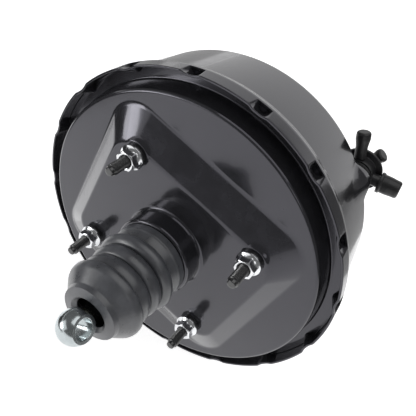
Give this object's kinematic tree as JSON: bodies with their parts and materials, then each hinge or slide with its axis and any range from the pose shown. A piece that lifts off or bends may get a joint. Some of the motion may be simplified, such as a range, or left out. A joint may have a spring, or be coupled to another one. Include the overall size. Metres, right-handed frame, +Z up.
{
  "type": "vacuum brake booster",
  "caption": "Vacuum brake booster: crimped black steel shells, raised pad with studs and flange nuts, bellows boot, ball-eyed input rod, working piston and a capped vacuum check valve.",
  "frame": {"origin": "centre of the plane that the firewall touches, at the seats of the stud collars, on the booster's axis", "axes": "+Y along the booster's axis towards the master cylinder, so the pedal rod points to -Y; +Z up, +X to the right seen from the pedal"},
  "size_m": [0.2466, 0.2249, 0.2466],
  "materials": {
    "shell_paint": "gloss black paint",
    "black_steel": "black phosphate",
    "zinc_steel": "bright zinc plate",
    "plated_steel": "yellow-grey passivated",
    "rod_steel": "polished plated steel",
    "spring_steel": "drawn spring wire",
    "plunger_brass": "turned",
    "body_plastic": "moulded, dark",
    "valve_plastic": "moulded, satin black",
    "boot_rubber": "moulded, matte",
    "seal_rubber": "moulded, smooth",
    "diaphragm_rubber": "moulded, fabric backed",
    "cap_rubber": "moulded, satin",
    "filter_foam": "open foam",
    "filter_felt": "pressed felt"
  },
  "bodies": {
    "housing": {"front_shell": "shell_paint", "rear_shell": "shell_paint", "diaphragm": "diaphragm_rubber", "stud_plate": "plated_steel", "firewall_studs": "black_steel", "stud_collars": "black_steel", "flange_nuts": "zinc_steel", "front_ring": "plated_steel", "master_cylinder_studs": "zinc_steel", "front_seal": "seal_rubber", "neck_bearing": "seal_rubber", "bearing_retainer": "plated_steel", "boot": "boot_rubber", "return_spring": "spring_steel", "valve_grommet": "seal_rubber", "check_valve_base": "valve_plastic", "check_valve_cover": "valve_plastic", "check_valve_spring": "spring_steel", "slim_port_caps": "cap_rubber", "wide_port_cap": "cap_rubber"},
    "piston": {"valve_body": "body_plastic", "support_plate": "plated_steel", "reaction_disc": "seal_rubber", "output_rod": "zinc_steel", "output_rod_retainer": "plated_steel", "piston_key": "zinc_steel", "poppet_valve": "seal_rubber", "poppet_spring": "spring_steel", "poppet_retainer": "plated_steel", "air_filter": "filter_foam", "silencer_felt": "filter_felt", "filter_retainer": "body_plastic", "rod_return_spring": "spring_steel"},
    "plunger": {"valve_plunger": "plunger_brass"},
    "rod": {"input_rod": "rod_steel", "rod_spring_seat": "plated_steel"},
    "check_disc": {"check_valve_disc": "seal_rubber"}
  },
  "joints": [
    {"name": "piston_slide", "type": "slide", "parent": "housing", "child": "piston", "axis": [0, 1, 0], "range_m": [0, 0.028], "stiffness_N_per_m": 2500, "springref_m": -0.02, "deforming": ["return_spring", "diaphragm", "boot"]},
    {"name": "rod_push", "type": "slide", "parent": "housing", "child": "plunger", "axis": [0, 1, 0], "range_m": [0, 0.03], "deforming": ["rod_return_spring"]},
    {"name": "rod_swivel", "type": "hinge", "parent": "plunger", "child": "rod", "pos_m": [0, 0.01, 0], "axis": [1, 0, 0], "range_deg": [-2.5, 2.5], "stiffness_Nm_per_rad": 12, "deforming": ["rod_return_spring", "boot"]},
    {"name": "check_lift", "type": "slide", "parent": "housing", "child": "check_disc", "axis": [0, 1, 0], "range_m": [0, 0.0012], "stiffness_N_per_m": 200, "springref_m": -0.002, "deforming": ["check_valve_spring"]}
  ],
  "couplings": [
    {"joint": "rod_push", "follows": "piston_slide", "ratio": 1.0714}
  ]
}
